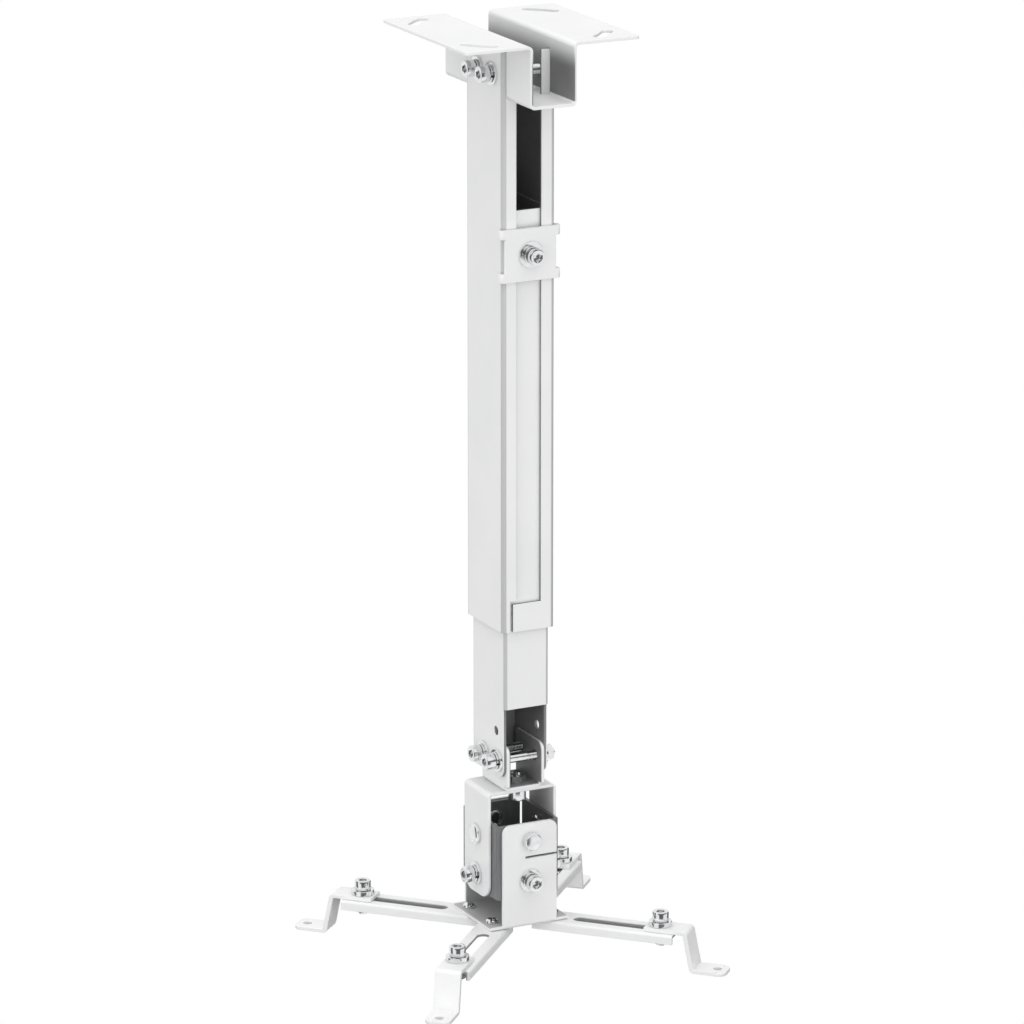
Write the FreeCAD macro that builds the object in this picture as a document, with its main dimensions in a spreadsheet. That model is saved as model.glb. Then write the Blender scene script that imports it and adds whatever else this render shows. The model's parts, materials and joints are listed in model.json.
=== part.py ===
"""Telescopic ceiling mount for a projector, in folded sheet steel.

Frame: +Z up, origin on the column's axis in the plane of the ceiling.  -Y is the slotted front of the column.
A hat-shaped bracket carries the outer column, an inner column slides in it, and a swivel bracket, a gimbal box
and a four-armed hub hang below.  Sizes are millimetres.
"""
import FreeCAD, Part
import Sketcher
import math
import os
import re

os.makedirs("parts", exist_ok=True)
doc = FreeCAD.newDocument("projector_mount")
sheet = doc.addObject("Spreadsheet::Sheet", "sizes")

# Driving dimensions
SIZES = {
    # ceiling bracket, a hat section
    "bracket_width": 95.5, "bracket_length": 94.5, "bracket_sheet": 1.5, "channel_depth": 31.8,
    "bracket_bend": 2.6, "bracket_corner": 2.0,
    "ceiling_slot_radius": 48.5, "ceiling_slot_width": 6.0, "ceiling_slot_sweep": 16.0,
    "ceiling_slot_angle": 45.0,
    # outer column, a folded C section with a long front slot
    "column_width": 29.3, "column_depth": 41.0, "column_wall": 1.8, "column_bend": 2.2,
    "column_top": 3.0, "column_bottom": 305.8, "column_slot": 14.0, "flange_top": 8.0,
    "bridge_height": 14.5, "bridge_slit": 1.8, "bridge_overlap": 1.7,
    # inner column, a closed folded tube with a window low in its front
    "column_play": 0.35, "inner_wall": 1.8, "inner_bend": 1.6, "inner_top": 88.4, "inner_bottom": 384.8,
    "window_height": 37.5, "window_corner": 6.0, "spare_hole": 5.0, "spare_hole_y": -8.5,
    "spare_hole_rise": 24.1,
    # clamp plate that locks the telescope
    "clamp_play": 0.3, "clamp_height": 27.0, "clamp_sheet": 2.0, "clamp_tab": 4.8, "clamp_return": 4.8,
    "clamp_drop": 110.4, "clamp_washer": 13.5, "clamp_relief": 0.8,
    # bolts through the bracket and through the yoke
    "top_bolt_drop": 20.0, "top_bolt_y": -1.2, "bolt_spacing": 15.5, "yoke_bolt_rise": 8.8,
    "yoke_bolt_y": -2.6,
    # yoke inside the foot of the inner column
    "yoke_sheet": 2.0, "yoke_rise": 16.8, "yoke_front": 17.2, "yoke_back": 11.0, "yoke_base_front": 14.0,
    "yoke_corner": 4.0,
    # swivel bracket, an inverted U that turns on a bolt near its front
    "swivel_width": 38.8, "swivel_front": 13.4, "swivel_back": 14.0, "swivel_sheet": 1.6, "swivel_gap": 7.5,
    "swivel_height": 57.2, "swivel_bend": 2.6, "swivel_corner": 8.0, "swivel_bolt_y": -7.5,
    # gimbal box between the swivel bracket and the hub
    "pivot_depth": 24.9, "gimbal_depth": 40.6, "gimbal_wall": 1.8, "gimbal_rise": 8.5, "gimbal_hang": 30.8,
    "gimbal_bend": 2.0, "gimbal_seam": 1.0, "lock_arm": 21.5, "tilt_limit": 15.0, "arc_margin": 0.5,
    # hub bracket, a U with a wide base
    "hub_plate_width": 30.6, "hub_sheet": 1.8, "hub_rise": 9.1, "hub_hang": 46.4, "hub_base": 44.0,
    "hub_corner": 4.3, "hub_base_corner": 5.0, "hub_slit_hang": 9.7, "hub_slit_height": 1.2,
    "hub_slit_start": -2.6,
    # arms and their pivots
    "arm_pivot_x": 17.3, "arm_pivot_y": 13.2, "arm_angle": 46.5, "arm_reach": 58.8, "arm_width": 18.0,
    "arm_sheet": 1.8, "arm_lip": 5.0, "arm_tail": 8.0, "arm_overhang": 9.0, "arm_bend": 1.5,
    "arm_slot": 6.4, "arm_slot_start": 15.0, "arm_slot_margin": 3.6,
    # feet
    "foot_width": 13.5, "foot_sheet": 2.0, "foot_heel": 7.0, "foot_knee": 14.0, "foot_splay": 4.0,
    "foot_drop": 19.9, "foot_reach": 36.5, "foot_hole": 31.0, "foot_hole_diameter": 4.6, "foot_bend": 2.6,
    "foot_corner": 4.0,
    # M5 hardware
    "screw": 5.0, "head": 8.5, "head_height": 5.0, "socket": 4.0, "socket_depth": 2.5,
    "washer": 12.0, "washer_sheet": 1.3, "spring_washer": 9.0, "spring_gap": 1.2,
    "nut_flats": 8.0, "nut_height": 4.0, "screw_tail": 1.5,
    # pivot rivets, swivel bolt and hub screws
    "rivet": 6.0, "rivet_head": 10.6, "rivet_head_height": 2.6, "rivet_tail": 9.0, "rivet_tail_height": 2.0,
    "roll_pin": 7.5, "roll_pin_reach": 5.0, "swivel_head": 9.2, "swivel_head_height": 5.6,
    "hub_screw": 4.0, "hub_screw_head": 6.5, "hub_screw_head_height": 2.4, "hub_screw_slot": 1.1,
    "hub_nut_flats": 7.0, "hub_nut_height": 3.2,
    # clearances
    "bolt_clearance": 0.2, "thread_clearance": 0.05, "running_clearance": 0.08, "sheet_play": 0.1,
    "gimbal_play": 0.2, "notch_play": 0.5, "cut_margin": 1.0,
}
# Sizes that follow from the driving ones, so the head stays at the column's foot; drops are below the ceiling
FOLLOWING = {
    "clamp_width": "column_width + 2 * clamp_play + 2 * clamp_sheet",
    "window_top": "inner_bottom - window_height",
    "spare_hole_drop": "inner_bottom - spare_hole_rise",
    "yoke_top": "inner_bottom - yoke_rise",
    "yoke_bolt_drop": "inner_bottom - yoke_bolt_rise",
    "swivel_top": "inner_bottom + swivel_gap",
    "swivel_bottom": "swivel_top + swivel_height",
    "pivot_drop": "swivel_top + pivot_depth",
    "gimbal_top": "pivot_drop - gimbal_rise",
    "gimbal_bottom": "pivot_drop + gimbal_hang",
    "hub_top": "pivot_drop - hub_rise",
    "hub_bottom": "pivot_drop + hub_hang",
    "hub_slit_drop": "pivot_drop + hub_slit_hang",
}
CELLS = {**SIZES, **FOLLOWING}
for row, (alias, value) in enumerate(CELLS.items(), start=1):
    sheet.set(f"A{row}", f"={value}")
    sheet.setAlias(f"A{row}", alias)
doc.recompute()
size = {alias: float(sheet.get(alias)) for alias in CELLS}

WORD = re.compile(r"\b(" + "|".join(sorted(CELLS, key=len, reverse=True)) + r")\b")
AXES = {
    "+X": FreeCAD.Rotation(FreeCAD.Vector(0, 1, 0), 90),
    "-X": FreeCAD.Rotation(FreeCAD.Vector(0, 1, 0), -90),
    "+Y": FreeCAD.Rotation(FreeCAD.Vector(1, 0, 0), -90),
    "-Y": FreeCAD.Rotation(FreeCAD.Vector(1, 0, 0), 90),
    "+Z": FreeCAD.Rotation(),
    "-Z": FreeCAD.Rotation(FreeCAD.Vector(1, 0, 0), 180),
}
nodes = []


def bind(thing, path, formula):
    """Tie a property to a formula written in the sheet's own words."""
    thing.setExpression(path, WORD.sub(r"sizes.\1", formula))


def place(thing, x, y, z, rotation=None):
    """Set a rotation and tie the position to three formulas."""
    thing.Placement = FreeCAD.Placement(FreeCAD.Vector(), rotation or FreeCAD.Rotation())
    for axis, formula in zip("xyz", (x, y, z)):
        bind(thing, "Placement.Base." + axis, formula)
    return thing


def node(thing, label):
    """Give a finished sub-part its name."""
    thing.Label = label
    nodes.append(thing)
    return thing


def box(name, x, y, z):
    """A block between two formulas on each axis."""
    block = doc.addObject("Part::Box", name)
    for prop, (low, high) in zip(("Length", "Width", "Height"), (x, y, z)):
        bind(block, prop, f"({high}) - ({low})")
    return place(block, x[0], y[0], z[0])


def rod(name, diameter, length, x="0", y="0", z="0", axis="+Z"):
    """A cylinder that starts at a point and runs along an axis."""
    cylinder = doc.addObject("Part::Cylinder", name)
    bind(cylinder, "Radius", f"({diameter}) / 2")
    bind(cylinder, "Height", length)
    return place(cylinder, x, y, z, AXES[axis])


def hexagon(name, flats, length, z="0"):
    """A hexagonal prism along +Z, sized across its flats."""
    prism = doc.addObject("Part::Prism", name)
    prism.Polygon = 6
    bind(prism, "Circumradius", f"({flats}) / 2 / cos(30)")
    bind(prism, "Height", length)
    return place(prism, "0", "0", z)


def cut(name, base, *tools):
    """Take one or more cutters out of a solid."""
    result = doc.addObject("Part::Cut", name)
    result.Base = base
    result.Tool = tools[0] if len(tools) == 1 else join(name + "_cutters", *tools)
    return result


def join(name, *things):
    """Fuse solids into one."""
    result = doc.addObject("Part::MultiFuse", name)
    result.Shapes = list(things)
    return result


def group(name, *things):
    """Keep several solids together as one object."""
    result = doc.addObject("Part::Compound", name)
    result.Links = list(things)
    return result


def copy_at(name, source, x, y, z, rotation):
    """A placed copy of a piece that is modelled about its own origin."""
    return place(group(name, source), x, y, z, rotation)


def fold(name, plane, corners, length, centred=True):
    """A folded sheet: a closed profile of formula corners on an origin plane, padded to a length."""
    body = doc.addObject("PartDesign::Body", name)
    sketch = body.newObject("Sketcher::SketchObject", name + "_profile")
    origin = next(item for item in body.Origin.OriginFeatures if item.Role == plane)
    sketch.AttachmentSupport = [(origin, "")]
    sketch.MapMode = "FlatFace"
    count = len(corners)
    # A rough polygon with the right order of corners, which the constraints then pull to size
    for index in range(count):
        turn = -2 * math.pi * index / count
        following = -2 * math.pi * (index + 1) / count
        start = FreeCAD.Vector(math.cos(turn), math.sin(turn), 0)
        sketch.addGeometry(Part.LineSegment(start, FreeCAD.Vector(math.cos(following), math.sin(following), 0)))
    for index in range(count):
        sketch.addConstraint(Sketcher.Constraint("Coincident", index, 2, (index + 1) % count, 1))
    for index, corner in enumerate(corners):
        for kind, formula in zip(("DistanceX", "DistanceY"), corner):
            number = sketch.addConstraint(Sketcher.Constraint(kind, -1, 1, index, 1, 0.5))
            bind(sketch, f"Constraints[{number}]", formula)
    pad = body.newObject("PartDesign::Pad", name + "_pad")
    pad.Profile = sketch
    bind(pad, "Length", length)
    pad.Midplane = centred
    doc.recompute()
    return body


def straight_edges(shape, along, **at):
    """Names of the straight edges that run along an axis through given coordinates."""
    names = []
    for index, edge in enumerate(shape.Edges, start=1):
        if not isinstance(edge.Curve, Part.Line):
            continue
        direction = edge.Curve.Direction
        if abs(abs(getattr(direction, along)) - 1) > 1e-6:
            continue
        middle = edge.CenterOfMass
        if all(any(abs(getattr(middle, axis) - value) < 0.01 for value in values)
               for axis, values in at.items()):
            names.append((index, f"Edge{index}"))
    return names


def round_body(body, radius, *choices):
    """Round chosen edges of a folded body."""
    doc.recompute()
    rounding = body.newObject("PartDesign::Fillet", body.Name + "_round")
    base = body.Tip if body.Tip.Name != rounding.Name else rounding.BaseFeature
    rounding.Base = (base, [name for found in choices for _, name in found])
    bind(rounding, "Radius", radius)
    body.Tip = rounding
    doc.recompute()
    return body


def round_part(name, base, *choices):
    """Round chosen edges of a boolean result, each choice a radius and its edges."""
    result = doc.addObject("Part::Fillet", name)
    result.Base = base
    result.Edges = [(index, radius, radius) for radius, found in choices for index, _ in found]
    return result


# Hardware patterns, each modelled about its own origin: the seat at z = 0, the head above, the shank below


def cap_screw(name, length):
    """Socket-head cap screw whose head seats at z = 0."""
    body = join(name + "_body", rod(name + "_head", "head", "head_height"),
                rod(name + "_shank", "screw", length, axis="-Z"))
    recess = hexagon(name + "_recess", "socket", "socket_depth + cut_margin", "head_height - socket_depth")
    return cut(name, body, recess)


def ring(name, outside, inside, thickness):
    """Flat washer resting at z = 0."""
    hole = rod(name + "_hole", inside, f"{thickness} + 2 * cut_margin", z="-cut_margin")
    return cut(name, rod(name + "_disc", outside, thickness), hole)


def split_ring(name):
    """Spring washer with its split."""
    split = box(name + "_split", ("0", "spring_washer"), ("-spring_gap / 2", "spring_gap / 2"),
                ("-cut_margin", "washer_sheet + cut_margin"))
    whole = ring(name + "_whole", "spring_washer", "screw + 2 * bolt_clearance", "washer_sheet")
    return cut(name, whole, split)


def hex_nut(name, flats, bore, height):
    """Hexagon nut resting at z = 0."""
    hole = rod(name + "_bore", f"{bore} + 2 * thread_clearance", f"{height} + 2 * cut_margin", z="-cut_margin")
    return cut(name, hexagon(name + "_blank", flats, height), hole)


HOLE = "screw + 2 * bolt_clearance"
WASHER = ring("washer", "washer", HOLE, "washer_sheet")
SPRING = split_ring("spring_washer")
NUT = hex_nut("nut", "nut_flats", "screw", "nut_height")


def fasten(prefix, screw, spots, axis, nut_seats, washer=WASHER, far_washers=True):
    """Screws, washers, spring washers and nuts at a list of spots, each kind as one node."""
    turn = AXES[axis]
    back = AXES[axis.translate(str.maketrans("+-", "-+"))]
    letter = axis[1].lower()
    sign = axis[0]
    sets = {"screws": [], "washers": [], "spring_washers": [], "nuts": []}
    for index, (spot, far) in enumerate(zip(spots, nut_seats)):

        def at(offset, base=spot, turned=1):
            """The spot moved out along the screw's axis."""
            moved = dict(base)
            outwards = sign if turned > 0 else {"+": "-", "-": "+"}[sign]
            moved[letter] = f"({base[letter]}) {outwards} ({offset})"
            return moved["x"], moved["y"], moved["z"]

        tag = f"{prefix}_{index}"
        sets["washers"].append(copy_at(tag + "_washer", washer, *at("0"), turn))
        sets["spring_washers"].append(copy_at(tag + "_spring", SPRING, *at("washer_sheet"), turn))
        sets["screws"].append(copy_at(tag + "_screw", screw, *at("2 * washer_sheet"), turn))
        behind = dict(spot)
        behind[letter] = far
        nut_offset = "0"
        if far_washers:
            sets["washers"].append(copy_at(tag + "_far_washer", WASHER, *at("0", behind), back))
            nut_offset = "washer_sheet"
        sets["nuts"].append(copy_at(tag + "_nut", NUT, *at(nut_offset, behind, -1), back))
    for kind, things in sets.items():
        node(group(f"{prefix}_{kind}", *things), f"{prefix}_{kind}")


# Ceiling bracket: a hat section with slotted flanges, notched where the column's front flanges stand in it
CHANNEL_HALF = "(column_width / 2 - column_wall - sheet_play)"
CHANNEL_INSIDE = f"({CHANNEL_HALF} - bracket_sheet)"
half_bracket = "bracket_width / 2"
hat = fold("hat", "XZ_Plane", [
    (f"-{half_bracket}", "0"), (f"-{CHANNEL_INSIDE}", "0"),
    (f"-{CHANNEL_INSIDE}", "bracket_sheet - channel_depth"), (CHANNEL_INSIDE, "bracket_sheet - channel_depth"),
    (CHANNEL_INSIDE, "0"), (half_bracket, "0"),
    (half_bracket, "-bracket_sheet"), (CHANNEL_HALF, "-bracket_sheet"),
    (CHANNEL_HALF, "-channel_depth"), (f"-{CHANNEL_HALF}", "-channel_depth"),
    (f"-{CHANNEL_HALF}", "-bracket_sheet"), (f"-{half_bracket}", "-bracket_sheet"),
], "bracket_length")
channel_half = size["column_width"] / 2 - size["column_wall"] - size["sheet_play"]
channel_inside = channel_half - size["bracket_sheet"]
hat_shape = hat.Shape
round_body(
    hat, "bracket_bend",
    straight_edges(hat_shape, "y", x=(channel_inside, -channel_inside), z=(0,)),
    straight_edges(hat_shape, "y", x=(channel_half, -channel_half), z=(-size["channel_depth"],)))
inner_bends = (
    straight_edges(hat.Shape, "y", x=(channel_half, -channel_half), z=(-size["bracket_sheet"],)),
    straight_edges(hat.Shape, "y", x=(channel_inside, -channel_inside),
                   z=(size["bracket_sheet"] - size["channel_depth"],)),
)
round_body(hat, "bracket_bend - bracket_sheet", *inner_bends)
corner_edges = straight_edges(hat.Shape, "z", x=(size["bracket_width"] / 2, -size["bracket_width"] / 2))
round_body(hat, "bracket_corner", corner_edges)


def arc_slot(name, radius, width, sweep, start, depth, z, rotation=None, x="0", y="0"):
    """Cutter for a slot along an arc, with round ends, turned about its centre."""
    outer = doc.addObject("Part::Cylinder", name + "_outer")
    inner = doc.addObject("Part::Cylinder", name + "_inner")
    for cylinder, side in ((outer, "+"), (inner, "-")):
        bind(cylinder, "Radius", f"({radius}) {side} ({width}) / 2")
        bind(cylinder, "Height", depth)
        bind(cylinder, "Angle", sweep)
    band = cut(name + "_band", outer, inner)
    first = rod(name + "_first", width, depth, radius)
    last = rod(name + "_last", width, depth, f"({radius}) * cos({sweep})", f"({radius}) * sin({sweep})")
    turned = copy_at(name + "_turned", join(name + "_blank", band, first, last), "0", "0", "0",
                     FreeCAD.Rotation())
    bind(turned, "Placement.Rotation.Angle", start)
    return copy_at(name, turned, x, y, z, rotation or FreeCAD.Rotation())


ceiling_slots = []
for name, middle in (("right_back", "ceiling_slot_angle"), ("left_back", "180 - ceiling_slot_angle"),
                     ("left_front", "180 + ceiling_slot_angle"), ("right_front", "360 - ceiling_slot_angle")):
    ceiling_slots.append(arc_slot(f"ceiling_slot_{name}", "ceiling_slot_radius", "ceiling_slot_width",
                                  "ceiling_slot_sweep", f"{middle} - ceiling_slot_sweep / 2",
                                  "bracket_sheet + 2 * cut_margin", "-bracket_sheet - cut_margin"))
FLANGE_BACK = "(column_wall - column_depth / 2)"
notches = []
for side, low, high in (("left", "-column_width / 2", "notch_play - column_slot / 2"),
                        ("right", "column_slot / 2 - notch_play", "column_width / 2")):
    notches.append(box(f"flange_notch_{side}", (low, high),
                       ("-column_depth / 2 - notch_play", f"{FLANGE_BACK} + notch_play"),
                       ("-channel_depth - cut_margin", "notch_play - flange_top")))
bracket_holes = []
for spot in ("front", "back"):
    side = "-" if spot == "front" else "+"
    bracket_holes.append(rod(f"bracket_hole_{spot}", HOLE, "column_width", "-column_width / 2",
                             f"top_bolt_y {side} bolt_spacing / 2", "-top_bolt_drop", "+X"))
node(cut("bracket_cut", hat, *ceiling_slots, *notches, *bracket_holes), "ceiling_bracket")


def tube(name, width, depth, wall, bend, top, bottom):
    """Folded rectangular tube between two drops below the ceiling."""
    shell = box(name + "_outside", (f"-({width}) / 2", f"({width}) / 2"), (f"-({depth}) / 2", f"({depth}) / 2"),
                (f"-({bottom})", f"-({top})"))
    bore = box(name + "_inside", (f"{wall} - ({width}) / 2", f"({width}) / 2 - {wall}"),
               (f"{wall} - ({depth}) / 2", f"({depth}) / 2 - {wall}"),
               (f"-({bottom}) - cut_margin", f"cut_margin - ({top})"))
    doc.recompute()
    rounded = round_part(name + "_round", shell, (size[bend], straight_edges(shell.Shape, "z")))
    return cut(name + "_tube", rounded, bore)


# Outer column: a C section, open along its front slot and bridged at its foot by a tab beside a slit
outer_tube = tube("outer", "column_width", "column_depth", "column_wall", "column_bend",
                  "column_top", "column_bottom")
FRONT = ("-column_depth / 2 - cut_margin", f"{FLANGE_BACK} + cut_margin")
SLIT_LEFT = "(-column_slot / 2 - bridge_overlap - bridge_slit)"
front_slot = box("front_slot", ("-column_slot / 2", "column_slot / 2"), FRONT,
                 ("bridge_height - column_bottom", "0"))
slit = box("bridge_slit", (SLIT_LEFT, f"{SLIT_LEFT} + bridge_slit"), FRONT,
           ("-column_bottom - cut_margin", "bridge_height + bridge_slit - column_bottom"))
slit_head = box("bridge_slit_head", (SLIT_LEFT, "0"), FRONT,
                ("bridge_height - column_bottom", "bridge_height + bridge_slit - column_bottom"))
flange_tops = box("flange_tops", ("column_wall - column_width / 2", "column_width / 2 - column_wall"), FRONT,
                  ("-flange_top", "0"))
back_notch = box("back_notch", ("column_wall - column_width / 2", "column_width / 2 - column_wall"),
                 ("column_depth / 2 - column_wall - cut_margin", "column_depth / 2 + cut_margin"),
                 ("-channel_depth - notch_play", "0"))
column_holes = []
for spot, side in (("front", "-"), ("back", "+")):
    column_holes.append(rod(f"column_hole_{spot}", HOLE, "column_width + 2 * cut_margin",
                            "-column_width / 2 - cut_margin", f"top_bolt_y {side} bolt_spacing / 2",
                            "-top_bolt_drop", "+X"))
node(cut("outer_cut", outer_tube, front_slot, slit, slit_head, flange_tops, back_notch, *column_holes),
     "outer_column")
top_screw = cap_screw("top_screw", "column_width + 3 * washer_sheet + nut_height + screw_tail")
fasten("bracket", top_screw,
       [{"x": "-column_width / 2", "y": f"top_bolt_y {side} bolt_spacing / 2", "z": "-top_bolt_drop"}
        for side in "-+"], "-X", ["column_width / 2"] * 2)

# Inner column: a closed tube that slides in the outer one, with its front cut away above the yoke
INNER_WIDTH = "(column_width - 2 * column_wall - 2 * column_play)"
INNER_DEPTH = "(column_depth - 2 * column_wall - 2 * column_play)"
INNER_FRONT = f"(-{INNER_DEPTH} / 2)"
inner_tube = tube("inner", INNER_WIDTH, INNER_DEPTH, "inner_wall", "inner_bend", "inner_top", "inner_bottom")
window = box("window", (f"-{INNER_WIDTH}", INNER_WIDTH),
             (f"{INNER_FRONT} - cut_margin", f"{INNER_FRONT} + inner_wall"),
             ("-inner_bottom - cut_margin", "-window_top"))
clamp_hole = rod("clamp_hole", HOLE, "inner_wall + 2 * cut_margin", "0", f"{INNER_FRONT} - cut_margin",
                 "-clamp_drop", "+Y")
inner_holes = [rod("spare_hole", "spare_hole", "column_width", "-column_width / 2", "spare_hole_y",
                   "-spare_hole_drop", "+X")]
for spot, side in (("front", "-"), ("back", "+")):
    inner_holes.append(rod(f"inner_hole_{spot}", HOLE, "column_width", "-column_width / 2",
                           f"yoke_bolt_y {side} bolt_spacing / 2", "-yoke_bolt_drop", "+X"))
inner_open = cut("inner_open", inner_tube, window, clamp_hole, *inner_holes)
doc.recompute()
inner_depth = size["column_depth"] - 2 * size["column_wall"] - 2 * size["column_play"]
lower_corners = straight_edges(inner_open.Shape, "x", y=(size["inner_wall"] - inner_depth / 2,),
                               z=(-size["inner_bottom"],))
node(round_part("inner_rounded", inner_open, (size["window_corner"], lower_corners)), "inner_column")

# Clamp plate: lies on the outer column's front, with four corner tabs folded back round its sides and
# its edges cut back between them, so that the tabs fold without tearing
PLATE_BACK = "(-column_depth / 2 - sheet_play)"
PLATE_FRONT = f"({PLATE_BACK} - clamp_sheet)"
clamp = fold("clamp", "XY_Plane", [
    ("-clamp_width / 2", PLATE_FRONT), ("-clamp_width / 2", f"{PLATE_FRONT} + clamp_return"),
    ("clamp_sheet - clamp_width / 2", f"{PLATE_FRONT} + clamp_return"),
    ("clamp_sheet - clamp_width / 2", PLATE_BACK), ("clamp_width / 2 - clamp_sheet", PLATE_BACK),
    ("clamp_width / 2 - clamp_sheet", f"{PLATE_FRONT} + clamp_return"),
    ("clamp_width / 2", f"{PLATE_FRONT} + clamp_return"), ("clamp_width / 2", PLATE_FRONT),
], "clamp_height")
round_body(clamp, "clamp_sheet", straight_edges(
    clamp.Shape, "z", y=(-size["column_depth"] / 2 - size["sheet_play"] - size["clamp_sheet"],)))
place(clamp, "0", "0", "-clamp_drop")
between_tabs = []
for side, low, high in (("left", "-clamp_width / 2 - cut_margin", "clamp_sheet + clamp_relief - clamp_width / 2"),
                        ("right", "clamp_width / 2 - clamp_sheet - clamp_relief",
                         "clamp_width / 2 + cut_margin")):
    between_tabs.append(box(f"between_tabs_{side}", (low, high), (f"{PLATE_FRONT} - cut_margin", "0"),
                            ("clamp_tab - clamp_height / 2 - clamp_drop",
                             "clamp_height / 2 - clamp_tab - clamp_drop")))
plate_hole = rod("plate_hole", HOLE, "clamp_sheet + 2 * cut_margin", "0", f"{PLATE_FRONT} - cut_margin",
                 "-clamp_drop", "+Y")
node(cut("clamp_cut", clamp, *between_tabs, plate_hole), "clamp_plate")
CLAMP_NUT_SEAT = f"({INNER_FRONT} + inner_wall)"
clamp_screw = cap_screw(
    "clamp_screw", f"2 * washer_sheet + {CLAMP_NUT_SEAT} - {PLATE_FRONT} + nut_height + screw_tail")
wide_washer = ring("wide_washer", "clamp_washer", HOLE, "washer_sheet")
fasten("clamp", clamp_screw, [{"x": "0", "y": PLATE_FRONT, "z": "-clamp_drop"}], "-Y", [CLAMP_NUT_SEAT],
       wide_washer, far_washers=False)

# Yoke: a U bolted inside the foot of the inner column, carrying the swivel bolt through its base
YOKE_HALF = f"({INNER_WIDTH} / 2 - inner_wall - sheet_play)"
YOKE_BASE = "(sheet_play - swivel_top)"
yoke_fold = fold("yoke_sheet_fold", "XZ_Plane", [
    (f"-{YOKE_HALF}", "-yoke_top"), (f"yoke_sheet - {YOKE_HALF}", "-yoke_top"),
    (f"yoke_sheet - {YOKE_HALF}", f"{YOKE_BASE} + yoke_sheet"),
    (f"{YOKE_HALF} - yoke_sheet", f"{YOKE_BASE} + yoke_sheet"),
    (f"{YOKE_HALF} - yoke_sheet", "-yoke_top"), (YOKE_HALF, "-yoke_top"),
    (YOKE_HALF, YOKE_BASE), (f"-{YOKE_HALF}", YOKE_BASE),
], "yoke_front + yoke_back")
round_body(yoke_fold, "yoke_sheet",
           straight_edges(yoke_fold.Shape, "y", z=(size["sheet_play"] - size["swivel_top"],)))
round_body(yoke_fold, "yoke_corner",
           straight_edges(yoke_fold.Shape, "x", y=(-(size["yoke_front"] + size["yoke_back"]) / 2,),
                          z=(-size["yoke_top"],)))
place(yoke_fold, "0", "(yoke_back - yoke_front) / 2", "0")
base_cut = box("yoke_base_cut", (f"-{YOKE_HALF} - cut_margin", f"{YOKE_HALF} + cut_margin"),
               ("-yoke_front - cut_margin", "-yoke_base_front"),
               (f"{YOKE_BASE} - cut_margin", f"{YOKE_BASE} + yoke_sheet + cut_margin"))
yoke_holes = [rod("yoke_swivel_hole", HOLE, "4 * yoke_sheet", y="swivel_bolt_y", z=f"{YOKE_BASE} - yoke_sheet")]
for spot, side in (("front", "-"), ("back", "+")):
    yoke_holes.append(rod(f"yoke_hole_{spot}", HOLE, "column_width", "-column_width / 2",
                          f"yoke_bolt_y {side} bolt_spacing / 2", "-yoke_bolt_drop", "+X"))
node(cut("yoke_cut", yoke_fold, base_cut, *yoke_holes), "yoke")
yoke_screw = cap_screw("yoke_screw", f"{INNER_WIDTH} + 3 * washer_sheet + nut_height + screw_tail")
fasten("yoke", yoke_screw,
       [{"x": f"-{INNER_WIDTH} / 2", "y": f"yoke_bolt_y {side} bolt_spacing / 2", "z": "-yoke_bolt_drop"}
        for side in "-+"], "-X", [f"{INNER_WIDTH} / 2"] * 2)

# Swivel bolt: round head under the swivel bracket's top, nut on the yoke's base
SWIVEL_SEAT = "(-swivel_top - swivel_sheet - sheet_play)"
swivel_head = rod("swivel_head", "swivel_head", "swivel_head_height", y="swivel_bolt_y", z=SWIVEL_SEAT,
                  axis="-Z")
swivel_shank = rod("swivel_shank", "screw",
                   f"{YOKE_BASE} + yoke_sheet - {SWIVEL_SEAT} + nut_height + screw_tail", y="swivel_bolt_y",
                   z=SWIVEL_SEAT)
node(join("swivel_bolt_body", swivel_head, swivel_shank), "swivel_bolt")
node(copy_at("swivel_nut_at", NUT, "0", "swivel_bolt_y", f"{YOKE_BASE} + yoke_sheet", AXES["+Z"]), "swivel_nut")

# Swivel bracket: an inverted U that turns on the swivel bolt and holds the gimbal box between its walls
swivel_fold = fold("swivel", "XZ_Plane", [
    ("-swivel_width / 2", "-swivel_top"), ("swivel_width / 2", "-swivel_top"),
    ("swivel_width / 2", "-swivel_bottom"), ("swivel_width / 2 - swivel_sheet", "-swivel_bottom"),
    ("swivel_width / 2 - swivel_sheet", "-swivel_top - swivel_sheet"),
    ("swivel_sheet - swivel_width / 2", "-swivel_top - swivel_sheet"),
    ("swivel_sheet - swivel_width / 2", "-swivel_bottom"), ("-swivel_width / 2", "-swivel_bottom"),
], "swivel_front + swivel_back")
round_body(swivel_fold, "swivel_bend", straight_edges(swivel_fold.Shape, "y", z=(-size["swivel_top"],)))
round_body(swivel_fold, "swivel_corner", straight_edges(swivel_fold.Shape, "x", z=(-size["swivel_bottom"],)))
place(swivel_fold, "0", "(swivel_back - swivel_front) / 2", "0")
LOCK_DROP = "(pivot_drop + lock_arm)"
swivel_holes = [rod("swivel_hole", "screw + 2 * running_clearance", "4 * swivel_sheet", y="swivel_bolt_y",
                    z="-swivel_top - 2 * swivel_sheet")]
for spot, drop, bore in (("pivot", "pivot_drop", "rivet + 2 * thread_clearance"), ("lock", LOCK_DROP, HOLE)):
    swivel_holes.append(rod(f"swivel_{spot}_hole", bore, "swivel_width + 2 * cut_margin",
                            "-swivel_width / 2 - cut_margin", "0", f"-{drop}", "+X"))
node(cut("swivel_cut", swivel_fold, *swivel_holes), "swivel_bracket")

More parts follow.
